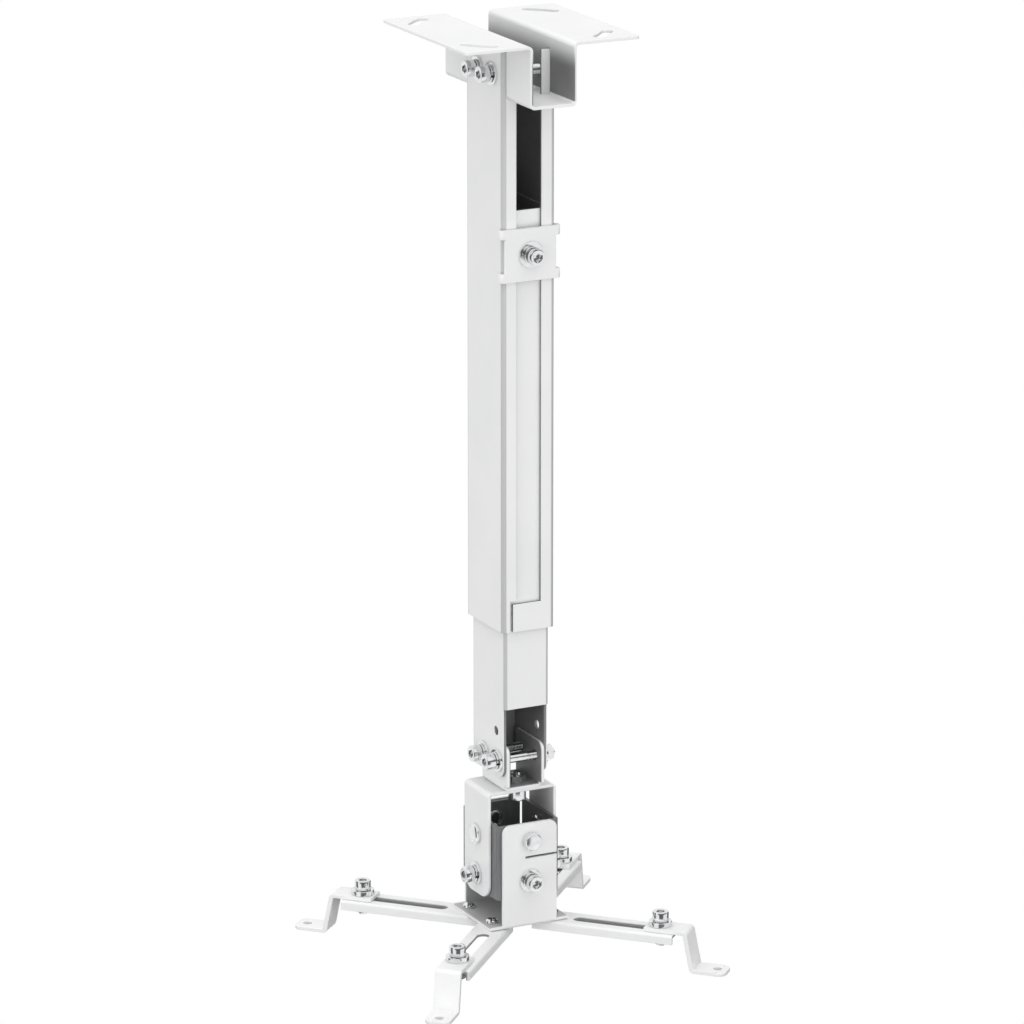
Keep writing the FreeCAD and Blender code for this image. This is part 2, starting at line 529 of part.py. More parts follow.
# Gimbal box: a folded sleeve, open along one corner, that pitches in the swivel bracket and rolls in the hub
GIMBAL_WIDTH = "(swivel_width - 2 * swivel_sheet - 2 * gimbal_play)"
gimbal_tube = tube("gimbal", GIMBAL_WIDTH, "gimbal_depth", "gimbal_wall", "gimbal_bend",
                   "gimbal_top", "gimbal_bottom")
gimbal_cuts = [
    rod("gimbal_pitch_hole", "rivet + 2 * running_clearance", "swivel_width", "-swivel_width / 2", "0",
        "-pivot_drop", "+X"),
    rod("gimbal_roll_hole", "rivet + 2 * running_clearance", "gimbal_depth + 2 * cut_margin", "0",
        "-gimbal_depth / 2 - cut_margin", "-pivot_drop", "+Y"),
    box("gimbal_seam", (f"{GIMBAL_WIDTH} / 2 - gimbal_wall - gimbal_seam", "swivel_width / 2"),
        ("gimbal_depth / 2 - gimbal_wall - sheet_play", "gimbal_depth / 2 + cut_margin"),
        ("-gimbal_bottom - cut_margin", "cut_margin - gimbal_top")),
]
ARC_SWEEP = "2 * (tilt_limit + arc_margin)"
gimbal_cuts.append(arc_slot("pitch_arc", "lock_arm", HOLE, ARC_SWEEP, "-tilt_limit - arc_margin",
                            "swivel_width", "-pivot_drop", AXES["+X"], "-swivel_width / 2"))
gimbal_cuts.append(arc_slot("roll_arc", "lock_arm", HOLE, ARC_SWEEP, "-90 - tilt_limit - arc_margin",
                            "gimbal_depth + 2 * cut_margin", "-pivot_drop", AXES["-Y"], "0",
                            "gimbal_depth / 2 + cut_margin"))
node(cut("gimbal_cut", gimbal_tube, *gimbal_cuts), "gimbal_box")


def rivet(name, head, head_height, grip):
    """Pivot rivet: round head seated at z = 0, shank through two sheets, formed tail behind them."""
    return join(name, rod(name + "_head", head, head_height),
                rod(name + "_shank", "rivet", f"{grip} + rivet_tail_height", axis="-Z"),
                rod(name + "_tail", "rivet_tail", "rivet_tail_height", z=f"-({grip})", axis="-Z"))


PITCH_GRIP = "swivel_sheet + gimbal_play + gimbal_wall + sheet_play"
pitch_rivet = rivet("pitch_rivet", "rivet_head", "rivet_head_height", PITCH_GRIP)
node(group("pitch_rivets",
           copy_at("pitch_rivet_left", pitch_rivet, "-swivel_width / 2", "0", "-pivot_drop", AXES["-X"]),
           copy_at("pitch_rivet_right", pitch_rivet, "swivel_width / 2", "0", "-pivot_drop", AXES["+X"])),
     "pitch_rivets")
LOCK_GRIP = "gimbal_play + gimbal_wall + sheet_play"
lock_screw = cap_screw("lock_screw", f"2 * washer_sheet + swivel_sheet + {LOCK_GRIP} + nut_height + screw_tail")
GIMBAL_INSIDE_X = f"({GIMBAL_WIDTH} / 2 - gimbal_wall - sheet_play)"


def lock_pair(prefix, screw, letter, seat, inside):
    """A lock screw on each of two facing walls, with its washers outside and its nut inside."""
    sets = {"screws": [], "washers": [], "spring_washers": [], "nuts": []}
    for sign, other in (("-", "+"), ("+", "-")):
        out = AXES[sign + letter.upper()]
        inwards = AXES[other + letter.upper()]

        def at(distance):
            """A point on the wall's axis at a distance from the middle."""
            spot = {"x": "0", "y": "0", "z": f"-{LOCK_DROP}", letter: f"{sign}({distance})"}
            return spot["x"], spot["y"], spot["z"]

        tag = f"{prefix}_{'low' if sign == '-' else 'high'}"
        sets["washers"].append(copy_at(tag + "_washer", WASHER, *at(seat), out))
        sets["spring_washers"].append(copy_at(tag + "_spring", SPRING, *at(f"{seat} + washer_sheet"), out))
        sets["screws"].append(copy_at(tag + "_screw", screw, *at(f"{seat} + 2 * washer_sheet"), out))
        sets["nuts"].append(copy_at(tag + "_nut", NUT, *at(inside), inwards))
    for kind, things in sets.items():
        node(group(f"{prefix}_{kind}", *things), f"{prefix}_{kind}")


lock_pair("pitch_lock", lock_screw, "x", "swivel_width / 2", GIMBAL_INSIDE_X)

# Hub: a U whose front and back plates straddle the gimbal box, on a wide base that carries the arms
PLATE_INSIDE = "(gimbal_depth / 2 + gimbal_play)"
PLATE_OUTSIDE = f"({PLATE_INSIDE} + hub_sheet)"
hub_fold = fold("hub", "YZ_Plane", [
    (f"-{PLATE_OUTSIDE}", "-hub_top"), (f"-{PLATE_INSIDE}", "-hub_top"),
    (f"-{PLATE_INSIDE}", "hub_sheet - hub_bottom"), (PLATE_INSIDE, "hub_sheet - hub_bottom"),
    (PLATE_INSIDE, "-hub_top"), (PLATE_OUTSIDE, "-hub_top"),
    (PLATE_OUTSIDE, "-hub_bottom"), (f"-{PLATE_OUTSIDE}", "-hub_bottom"),
], "hub_base")
round_body(hub_fold, "hub_sheet", straight_edges(hub_fold.Shape, "x", z=(-size["hub_bottom"],)))
trims = []
for side, low, high in (("left", "-hub_base", "-hub_plate_width / 2"),
                        ("right", "hub_plate_width / 2", "hub_base")):
    trims.append(box(f"hub_trim_{side}", (low, high),
                     (f"-{PLATE_OUTSIDE} - cut_margin", f"{PLATE_OUTSIDE} + cut_margin"),
                     ("hub_sheet - hub_bottom", "cut_margin - hub_top")))
index_slit = box("index_slit", ("hub_slit_start", "hub_plate_width / 2 + cut_margin"),
                 (f"-{PLATE_OUTSIDE} - cut_margin", f"cut_margin - {PLATE_INSIDE}"),
                 ("-hub_slit_drop", "hub_slit_height - hub_slit_drop"))
hub_cuts = [index_slit]
for spot, drop, bore in (("pivot", "pivot_drop", "rivet + 2 * thread_clearance"), ("lock", LOCK_DROP, HOLE)):
    hub_cuts.append(rod(f"hub_{spot}_hole", bore, f"2 * {PLATE_OUTSIDE} + 2 * cut_margin", "0",
                        f"-{PLATE_OUTSIDE} - cut_margin", f"-{drop}", "+Y"))
PIVOTS = {"front_left": ("-", "-", "180 + arm_angle"), "front_right": ("+", "-", "360 - arm_angle"),
          "back_left": ("-", "+", "180 - arm_angle"), "back_right": ("+", "+", "arm_angle")}
for spot, (x_sign, y_sign, _) in PIVOTS.items():
    hub_cuts.append(rod(f"hub_arm_hole_{spot}", "hub_screw + 2 * thread_clearance", "4 * hub_sheet",
                        f"{x_sign}arm_pivot_x", f"{y_sign}arm_pivot_y", "-hub_bottom - hub_sheet"))
hub_trimmed = cut("hub_trimmed", hub_fold, *trims)
doc.recompute()
top_corners = straight_edges(hub_trimmed.Shape, "y", z=(-size["hub_top"],))
base_corners = straight_edges(hub_trimmed.Shape, "z", x=(size["hub_base"] / 2, -size["hub_base"] / 2))
hub_rounded = round_part("hub_rounded", hub_trimmed, (size["hub_corner"], top_corners),
                         (size["hub_base_corner"], base_corners))
node(cut("hub_cut", hub_rounded, *hub_cuts), "hub_bracket")
roll_rivet = rivet("roll_rivet", "roll_pin", "roll_pin_reach",
                   "hub_sheet + gimbal_play + gimbal_wall + sheet_play")
node(group("roll_rivets",
           copy_at("roll_rivet_front", roll_rivet, "0", f"-{PLATE_OUTSIDE}", "-pivot_drop", AXES["-Y"]),
           copy_at("roll_rivet_back", roll_rivet, "0", PLATE_OUTSIDE, "-pivot_drop", AXES["+Y"])),
     "roll_rivets")
roll_screw = cap_screw("roll_screw", f"2 * washer_sheet + hub_sheet + {LOCK_GRIP} + nut_height + screw_tail")
lock_pair("roll_lock", roll_screw, "y", PLATE_OUTSIDE, "(gimbal_depth / 2 - gimbal_wall - sheet_play)")

# Arms: slotted channels under the hub's base, each turning on its own slotted screw
ARM_TOP = "(-hub_bottom - sheet_play)"
ARM_LENGTH = "(arm_tail + arm_reach + arm_overhang)"
arm_fold = fold("arm", "YZ_Plane", [
    ("-arm_width / 2", "0"), ("arm_width / 2", "0"), ("arm_width / 2", "-arm_lip"),
    ("arm_width / 2 - arm_sheet", "-arm_lip"), ("arm_width / 2 - arm_sheet", "-arm_sheet"),
    ("arm_sheet - arm_width / 2", "-arm_sheet"), ("arm_sheet - arm_width / 2", "-arm_lip"),
    ("-arm_width / 2", "-arm_lip"),
], ARM_LENGTH)
round_body(arm_fold, "arm_bend", straight_edges(arm_fold.Shape, "x", z=(0,)))
place(arm_fold, f"{ARM_LENGTH} / 2 - arm_tail", "0", "0")
SLOT_DEPTH = "arm_sheet + 2 * cut_margin"
slot_run = box("arm_slot_run", ("arm_slot_start", "arm_reach + arm_slot_margin - arm_slot / 2"),
               ("-arm_slot / 2", "arm_slot / 2"), ("-arm_sheet - cut_margin", "cut_margin"))
slot_ends = [rod(f"arm_slot_{name}", "arm_slot", SLOT_DEPTH, x, z="-arm_sheet - cut_margin")
             for name, x in (("inner", "arm_slot_start"),
                             ("outer", "arm_reach + arm_slot_margin - arm_slot / 2"))]
arm_pivot_hole = rod("arm_pivot_hole", "hub_screw + 2 * running_clearance", SLOT_DEPTH,
                     z="-arm_sheet - cut_margin")
arm = cut("arm_cut", arm_fold, slot_run, *slot_ends, arm_pivot_hole)

# Feet: cranked strips under the arms' screws, ending in a tab with a hole for the projector's screw
foot_fold = fold("foot", "XZ_Plane", [
    ("-foot_heel", "0"), ("foot_knee", "0"), ("foot_knee + foot_splay", "-foot_drop"),
    ("foot_reach", "-foot_drop"), ("foot_reach", "foot_sheet - foot_drop"),
    ("foot_knee + foot_splay + foot_sheet", "foot_sheet - foot_drop"), ("foot_knee + foot_sheet", "foot_sheet"),
    ("-foot_heel", "foot_sheet"),
], "foot_width")
foot_shape = foot_fold.Shape
knee = size["foot_knee"]
heel_bend = knee + size["foot_splay"]
round_body(foot_fold, "foot_bend",
           straight_edges(foot_shape, "y", x=(knee + size["foot_sheet"],)),
           straight_edges(foot_shape, "y", x=(heel_bend,)))
round_body(foot_fold, "foot_corner", straight_edges(foot_fold.Shape, "z", x=(size["foot_reach"],)))
foot_holes = [rod("foot_screw_hole", HOLE, "3 * foot_sheet", z="-foot_sheet"),
              rod("foot_tab_hole", "foot_hole_diameter", "3 * foot_sheet", "foot_hole",
                  z="-foot_drop - foot_sheet")]
foot = cut("foot_cut", foot_fold, *foot_holes)

hub_screw_body = join("hub_screw_body", rod("hub_screw_head", "hub_screw_head", "hub_screw_head_height"),
                      rod("hub_screw_shank", "hub_screw",
                          "hub_sheet + 2 * sheet_play + arm_sheet + hub_nut_height + screw_tail", axis="-Z"))
hub_screw_cut = box("hub_screw_cut", ("-hub_screw_head", "hub_screw_head"),
                    ("-hub_screw_slot / 2", "hub_screw_slot / 2"),
                    ("hub_screw_head_height / 2", "hub_screw_head_height + cut_margin"))
hub_screw = cut("hub_screw", hub_screw_body, hub_screw_cut)
hub_nut = hex_nut("hub_nut", "hub_nut_flats", "hub_screw", "hub_nut_height")
FOOT_BASE = f"({ARM_TOP} + sheet_play)"
foot_screw = cap_screw("foot_screw", "3 * washer_sheet + foot_sheet + 2 * sheet_play + arm_sheet + nut_height"
                       " + screw_tail")
nut_below = copy_at("nut_below", NUT, "0", "0", "0", AXES["-Z"])
hub_nut_below = copy_at("hub_nut_below", hub_nut, "0", "0", "0", AXES["-Z"])
washer_below = copy_at("washer_below", WASHER, "0", "0", "0", AXES["-Z"])


def turned_at(name, source, spot, z, angle):
    """A placed copy turned about the upright axis by a formula."""
    turned = copy_at(name, source, *spot, z, FreeCAD.Rotation())
    bind(turned, "Placement.Rotation.Angle", angle)
    return turned


hub_screws = []
hub_nuts = []
for spot, (x_sign, y_sign, angle) in PIVOTS.items():
    pivot = (f"{x_sign}arm_pivot_x", f"{y_sign}arm_pivot_y")
    end = (f"{x_sign}(arm_pivot_x + arm_reach * cos(arm_angle))",
           f"{y_sign}(arm_pivot_y + arm_reach * sin(arm_angle))")
    seat = f"{FOOT_BASE} + foot_sheet"
    under = f"{ARM_TOP} - arm_sheet - sheet_play"
    hub_screws.append(turned_at(f"hub_screw_{spot}", hub_screw, pivot, "hub_sheet - hub_bottom", angle))
    hub_nuts.append(turned_at(f"hub_nut_{spot}", hub_nut_below, pivot, under, angle))
    node(turned_at(f"arm_{spot}_at", arm, pivot, ARM_TOP, angle), f"arm_{spot}")
    node(turned_at(f"foot_{spot}_at", foot, end, FOOT_BASE, angle), f"foot_{spot}")
    node(turned_at(f"foot_screw_{spot}_at", foot_screw, end, f"{seat} + 2 * washer_sheet", angle),
         f"foot_screw_{spot}")
    node(group(f"foot_washers_{spot}_at",
               turned_at(f"foot_washer_{spot}", WASHER, end, seat, angle),
               turned_at(f"foot_spring_{spot}", SPRING, end, f"{seat} + washer_sheet", angle),
               turned_at(f"foot_under_washer_{spot}", washer_below, end, under, angle)),
         f"foot_washers_{spot}")
    node(turned_at(f"foot_nut_{spot}_at", nut_below, end, f"{under} - washer_sheet", angle), f"foot_nut_{spot}")
node(group("hub_screws_at", *hub_screws), "hub_screws")
node(group("hub_nuts_at", *hub_nuts), "hub_nuts")

doc.recompute()
for thing in doc.Objects:
    if "Invalid" in thing.State or "Error" in thing.State:
        raise RuntimeError(f"{thing.Name} failed: {thing.State}")
for piece in nodes:
    if piece.Shape.isNull() or not piece.Shape.isValid() or not piece.Shape.Solids:
        raise RuntimeError(f"{piece.Label} has no valid shape")
for piece in nodes:
    piece.Shape.exportStep(f"parts/{piece.Label}.step")
    print(f"{piece.Label:28s} {len(piece.Shape.Solids):3d} solids {piece.Shape.Volume:12.1f} mm3")
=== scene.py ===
import json
import math

import bmesh
import bpy
from mathutils import Matrix, Vector


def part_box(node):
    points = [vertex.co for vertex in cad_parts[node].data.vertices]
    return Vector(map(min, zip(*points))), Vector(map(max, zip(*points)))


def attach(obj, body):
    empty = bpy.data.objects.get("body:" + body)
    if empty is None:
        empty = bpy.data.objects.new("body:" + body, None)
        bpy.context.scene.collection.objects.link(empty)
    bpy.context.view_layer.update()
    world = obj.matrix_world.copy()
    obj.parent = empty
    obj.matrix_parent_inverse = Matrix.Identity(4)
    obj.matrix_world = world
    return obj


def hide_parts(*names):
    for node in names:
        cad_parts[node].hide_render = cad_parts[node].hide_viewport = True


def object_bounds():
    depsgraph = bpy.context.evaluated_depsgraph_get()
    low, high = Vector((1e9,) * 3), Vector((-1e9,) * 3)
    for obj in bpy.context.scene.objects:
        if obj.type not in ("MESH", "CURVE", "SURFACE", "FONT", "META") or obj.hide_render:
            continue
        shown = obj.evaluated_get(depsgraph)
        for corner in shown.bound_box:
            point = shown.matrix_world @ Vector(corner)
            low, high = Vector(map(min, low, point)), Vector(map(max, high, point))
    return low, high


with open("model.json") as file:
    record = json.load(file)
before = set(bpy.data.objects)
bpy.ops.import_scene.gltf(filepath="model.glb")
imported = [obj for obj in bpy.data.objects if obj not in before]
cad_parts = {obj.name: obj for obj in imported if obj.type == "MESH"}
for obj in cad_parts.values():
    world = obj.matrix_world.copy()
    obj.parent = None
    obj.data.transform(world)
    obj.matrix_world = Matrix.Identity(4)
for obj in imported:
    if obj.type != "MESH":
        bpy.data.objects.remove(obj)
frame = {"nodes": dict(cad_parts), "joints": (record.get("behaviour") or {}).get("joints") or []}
cad_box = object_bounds()

# Ceiling bracket: a hat section folded from one steel sheet, with arc slots for the ceiling screws.
# It is powder coated in white after folding, so its sheared edges are slightly rounded by the coat
# and the whole face carries a fine orange peel.


class Wire:
    """A socket in a finish's node tree: sums on it add Math nodes, and node() adds any other kind."""

    def __init__(self, tree, socket=None):
        self.tree = tree
        self.socket = socket

    def node(self, kind, settings, sockets, output=0):
        made = self.tree.nodes.new(kind)
        for name, value in settings.items():
            if name == "stops":
                ramp = made.color_ramp.elements
                ramp.remove(ramp[1])
                ramp[0].position, ramp[0].color = value[0]
                for position, shade in value[1:]:
                    ramp.new(position).color = shade
            else:
                setattr(made, name, value)
        for key, value in sockets.items():
            if isinstance(value, Wire):
                self.tree.links.new(value.socket, made.inputs[key])
            else:
                made.inputs[key].default_value = value
        return Wire(self.tree, made.outputs[output] if made.outputs else None)

    def math(self, operation, *values):
        return self.node("ShaderNodeMath", {"operation": operation}, dict(enumerate(values)))

    def __add__(self, other):
        return self.math("ADD", self, other)

    def __sub__(self, other):
        return self.math("SUBTRACT", self, other)

    def __rsub__(self, other):
        return self.math("SUBTRACT", other, self)

    def __mul__(self, other):
        return self.math("MULTIPLY", self, other)

    __radd__ = __add__
    __rmul__ = __mul__


def new_finish(name):
    """An empty material and the start of its node tree."""
    finish = bpy.data.materials.new(name)
    finish.use_nodes = True
    finish.node_tree.nodes.clear()
    return finish, Wire(finish.node_tree)


def noise(wire, spot, scale, detail):
    """Noise on the object's own coordinates."""
    return wire.node("ShaderNodeTexNoise", {}, {"Vector": spot, "Scale": scale, "Detail": detail}, "Fac")


def shades(wire, share, dark, pale):
    """A colour that drifts from a dark to a pale shade as a noise rises."""
    return wire.node("ShaderNodeValToRGB", {"stops": [(0.3, (*dark, 1)), (0.7, (*pale, 1))]}, {"Fac": share})


def between(wire, share, first, second):
    """A colour that goes from the first to the second, through the colour sockets of a Mix node."""
    return wire.node("ShaderNodeMix", {"data_type": "RGBA"}, {0: share, 6: first, 7: second}, 2)


def eased(wire, value, start, end, most=1.0):
    """None at the start, the most at the end, and a smooth change from one to the other."""
    return wire.node("ShaderNodeMapRange", {"interpolation_type": "SMOOTHSTEP"},
                     {"Value": value, "From Min": start, "From Max": end, "To Max": most})


def measured(wire, spot, axis):
    """How far a spot lies along one axis."""
    return wire.node("ShaderNodeSeparateXYZ", {}, {"Vector": spot}, axis)


def powder_coat(name, hollow=None, mouth=("Y", -1.0, -0.9), shade_share=1.0, turn=None, bends=None):
    """White powder coat with an orange peel about a millimetre across.

    Inside a hollow, given by its corners, grey is mixed into the coat as painted shade, in a given share.
    A mouth gives an axis, where the painted shade starts and where it is deepest; with none, the hollow is
    shaded the same all through. A hollow that lies at a turn has its corners given as if turned straight
    about a centre. Over a column's upright bends, further out than the given x and y, a lighter grey is
    mixed in as painted shade too.
    """
    finish, wire = new_finish(name)
    spot = wire.node("ShaderNodeTexCoord", {}, {}, "Object")
    peel = noise(wire, spot, 900, 2)
    cloud = noise(wire, spot, 35, 3)
    colour = shades(wire, cloud, (0.795, 0.798, 0.800), (0.828, 0.829, 0.828))
    if hollow:
        low, high = Vector(hollow[0]), Vector(hollow[1])
        straight = spot
        if turn:
            centre, angle = turn
            straight = wire.node("ShaderNodeVectorRotate", {"rotation_type": "Z_AXIS"},
                                 {"Vector": spot, "Center": centre, "Angle": -angle})
        place = wire.node("ShaderNodeVectorMath", {"operation": "SUBTRACT"},
                          {0: straight, 1: (low + high) / 2})
        axis, shade_starts, shade_deepest = mouth
        shade_mask = eased(wire, measured(wire, spot, axis), shade_starts, shade_deepest, shade_share)
        for side, half in zip("XYZ", (high - low) / 2):
            shade_mask = wire.math("LESS_THAN", wire.math("ABSOLUTE", measured(wire, place, side)), half) * shade_mask
        # Painted shade: dark grey mixed into the coat wherever the hollow's mask is set.
        steel = shades(wire, cloud, (0.16, 0.16, 0.165), (0.24, 0.24, 0.245))
        colour = between(wire, shade_mask, colour, steel)
    # Painted shade over the upright bends: a mid grey mixed into the coat.
    if bends:
        before, after, bend_shade = 0.0002, 0.0004, (0.50, 0.50, 0.505, 1)
        folded = 0.9 + cloud * 0.1
        for side, start in zip("XY", bends):
            out = wire.math("ABSOLUTE", measured(wire, spot, side))
            folded = eased(wire, out, start - before, start + after) * folded
        colour = between(wire, folded, colour, bend_shade)
    bump = wire.node("ShaderNodeBump", {}, {"Height": peel, "Strength": 0.25, "Distance": 0.00012})
    shader = wire.node("ShaderNodeBsdfPrincipled", {}, {
        "Base Color": colour, "Roughness": 0.40 + cloud * 0.12 + peel * 0.04, "Normal": bump})
    wire.node("ShaderNodeOutputMaterial", {}, {"Surface": shader})
    return finish


white_coat = powder_coat("white_coat")


def coated(*names, finish=white_coat):
    """Give folded sheets their coat and the softened edges that it leaves."""
    weld_gap, soft_edge = 0.00001, 0.00028
    flat_within, sharp_over = math.radians(0.5), math.radians(40)
    for name in names:
        sheet = frame["nodes"][name]
        sheet.data.materials.clear()
        sheet.data.materials.append(finish)
        weld = sheet.modifiers.new("weld", "WELD")
        weld.merge_threshold = weld_gap
        flats = sheet.modifiers.new("flats", "DECIMATE")
        flats.decimate_type = "DISSOLVE"
        flats.angle_limit = flat_within
        edge = sheet.modifiers.new("edge", "BEVEL")
        edge.width = soft_edge
        edge.segments = 2
        edge.limit_method = "ANGLE"
        edge.angle_limit = sharp_over
        edge.harden_normals = True


column_wall, channel_skin, channel_floor, flange_skin = 0.0018, 0.0010, 0.0025, 0.0008
past_end = 0.001
# Grey is mixed into the coat inside the channel as painted shade, deepening from 1 mm to 14 mm below the top.
channel_shade_starts, channel_shade_deepest = -0.001, -0.014
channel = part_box("outer_column")[1].x - column_wall - channel_skin
bracket_low, bracket_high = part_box("ceiling_bracket")
channel_inside = ((-channel, bracket_low.y - past_end, bracket_low.z + channel_floor),
                  (channel, bracket_high.y + past_end, -flange_skin))
coated("ceiling_bracket", finish=powder_coat("bracket_coat", channel_inside,
                                             ("Z", channel_shade_starts, channel_shade_deepest)))

# Outer column: a C section folded from the same white sheet, its walls outside the bracket's channel.
# Its front stays open for the clamp screw, and a tab beside a slit bridges it at the foot.
# Inside it and on the cut edges of its slot, grey is mixed into the coat as painted shade, and a lighter grey
# over its upright bends.


def inside(name, low_skin, high_skin):
    """A sheet piece's hollow: its box, drawn in by a skin at each corner, or out where that is below zero."""
    low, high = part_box(name)
    return low + Vector(low_skin), high - Vector(high_skin)


tube_skin = (0.0005, 0.0005, -past_end)
column_bend = 0.0022
column_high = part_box("outer_column")[1]
coated("outer_column", finish=powder_coat(
    "column_coat", inside("outer_column", tube_skin, tube_skin),
    bends=(column_high.x - column_bend, column_high.y - column_bend)))

# Bracket bolts: two cap screws through the column and the channel, with spring and flat washers and nuts.
# They are cold-headed steel with smooth heads, rolled threads and a polished plating.


def plating():
    """Polished plating on steel: faint drawing marks, and a slight change of gloss from spot to spot."""
    finish, wire = new_finish("bright_zinc")
    spot = wire.node("ShaderNodeTexCoord", {}, {}, "Object")
    grain = noise(wire, spot, 2600, 3)
    cloud = noise(wire, spot, 300, 2)
    colour = shades(wire, cloud, (0.72, 0.725, 0.735), (0.82, 0.825, 0.83))
    bump = wire.node("ShaderNodeBump", {}, {"Height": grain, "Strength": 0.08, "Distance": 0.00003})
    shader = wire.node("ShaderNodeBsdfPrincipled", {}, {
        "Base Color": colour, "Metallic": 1.0, "Roughness": 0.09 + cloud * 0.06 + grain * 0.05,
        "Normal": bump})
    wire.node("ShaderNodeOutputMaterial", {}, {"Surface": shader})
    return finish


bright_zinc = plating()


# Points that lie closer than a hair, in millimetres, are the same one.
hair = 0.001


def turned(outline, closed=False, steps=48):
    """A mesh in millimetres: an outline of (radius, height) points spun about the piece's own axis."""
    mesh = bmesh.new()
    points = [mesh.verts.new((radius, 0, height)) for radius, height in outline]
    ends = points[1:] + points[:1] if closed else points[1:]
    edges = [mesh.edges.new(pair) for pair in zip(points, ends)]
    bmesh.ops.spin(mesh, geom=points + edges, cent=(0, 0, 0), axis=(0, 0, 1), angle=2 * math.pi, steps=steps,
                   use_merge=True)
    bmesh.ops.remove_doubles(mesh, verts=mesh.verts, dist=hair)
    bmesh.ops.recalc_face_normals(mesh, faces=mesh.faces)
    return mesh


def hexagonal(vert, flats):
    """Move a point of a ring in or out to a hexagon, and return how far it is from the axis."""
    turn = math.degrees(math.atan2(vert.co.y, vert.co.x))
    reach = flats / 2 / math.cos(math.radians((turn + 30) % 60 - 30))
    flat = Vector((vert.co.x, vert.co.y, 0)).normalized() * reach
    vert.co.x, vert.co.y = flat.x, flat.y
    return reach


def thread(radius, top, bottom, pitch=0.8):
    """Outline points of a thread's crests and roots between two heights."""
    crest, depth = 0.1, 0.42
    turns = max(1, int((top - bottom) / pitch))
    points = []
    for turn in range(turns):
        points += [(radius, top - turn * pitch - crest), (radius - depth, top - turn * pitch - pitch / 2)]
    return points


def cap_screw(length, width):
    """Socket-head cap screw of M5, its head's top at zero and its shank downwards."""
    head, shank, tip, threaded = 5.0, 2.5, 2.0, 16.0
    socket, socket_flats, socket_corner = 2.5, 4.0, 2.309
    outside, tail = width / 2, -length
    plain = max(tail + 1.2, min(-head - 1.0, tail + threaded))
    outline = [(0, -socket - 0.9), (socket_corner, -socket), (socket_corner, -0.25), (2.6, 0), (3.7, 0),
               (4.05, -0.12), (outside, -0.5), (outside, 0.5 - head), (4.1, 0.12 - head), (3.9, -head),
               (2.7, -head), (shank, -head - 0.2), (shank, plain)]
    mesh = turned(outline + thread(shank, plain, tail + 0.8) + [(tip, tail), (0, tail)])
    for vert in mesh.verts:
        reach = math.hypot(vert.co.x, vert.co.y)
        if abs(reach - socket_corner) < hair and vert.co.z > -socket - 0.1:
            hexagonal(vert, socket_flats)
    return mesh


def flat_washer(length, width):
    """Flat washer with broken edges."""
    bore, outside, bore_break, rim_break = 2.7, width / 2, 0.12, 0.18
    return turned([(bore, -bore_break), (bore + bore_break, 0), (outside - rim_break, 0),
                   (outside, -rim_break), (outside, rim_break - length), (outside - rim_break, -length),
                   (bore + bore_break, -length), (bore, bore_break - length)], closed=True)


def spring_washer(length, width):
    """Split spring washer, one end slightly higher than the other."""
    bore, outside, bore_break, rim_break = 2.75, width / 2, 0.06, 0.15
    lift, steps, round_to = 0.25, 44, math.radians(344)
    mesh = bmesh.new()
    corners = [(bore, -length + bore_break), (bore + bore_break, -length), (outside - rim_break, -length),
               (outside, rim_break - length), (outside, -lift - rim_break), (outside - rim_break, -lift),
               (bore + bore_break, -lift), (bore, -lift - bore_break)]
    points = [mesh.verts.new((radius, 0, height)) for radius, height in corners]
    edges = [mesh.edges.new(pair) for pair in zip(points, points[1:] + points[:1])]
    bmesh.ops.spin(mesh, geom=points + edges, cent=(0, 0, 0), axis=(0, 0, 1), angle=round_to,
                   steps=steps, dvec=(0, 0, lift / steps))
    bmesh.ops.holes_fill(mesh, edges=mesh.edges, sides=len(corners))
    bmesh.ops.recalc_face_normals(mesh, faces=mesh.faces)
    return mesh


def hex_nut(length, width, flats=8.0, bore=2.3):
    """Hexagon nut with chamfered corners on both faces."""
    sunk, sink, rim, fall = 0.5, 0.45, 0.15, 0.55
    face, corner = flats / 2 - rim, flats / 2 / math.cos(math.radians(30))
    mesh = turned([(bore, -sunk), (bore + sink, 0), (face, 0), (corner, 0), (corner, -length),
                   (face, -length), (bore + sink, -length), (bore, sunk - length)], closed=True)
    for vert in mesh.verts:
        if abs(math.hypot(vert.co.x, vert.co.y) - corner) < hair:
            slope = (hexagonal(vert, flats) - face) * fall
            vert.co.z += slope if vert.co.z < -length / 2 else -slope
    return mesh


def solids(name):
    """The lowest and highest corners of each separate solid in a CAD node."""
    mesh = bmesh.new()
    mesh.from_mesh(frame["nodes"][name].data)
    bmesh.ops.remove_doubles(mesh, verts=mesh.verts, dist=0.000001)
    waiting = set(mesh.verts)
    boxes = []
    while waiting:
        island = [waiting.pop()]
        for vert in island:
            for edge in vert.link_edges:
                other = edge.other_vert(vert)
                if other in waiting:
                    waiting.remove(other)
                    island.append(other)
        boxes.append((Vector([min(vert.co[axis] for vert in island) for axis in range(3)]),
                      Vector([max(vert.co[axis] for vert in island) for axis in range(3)])))
    mesh.free()
    return boxes


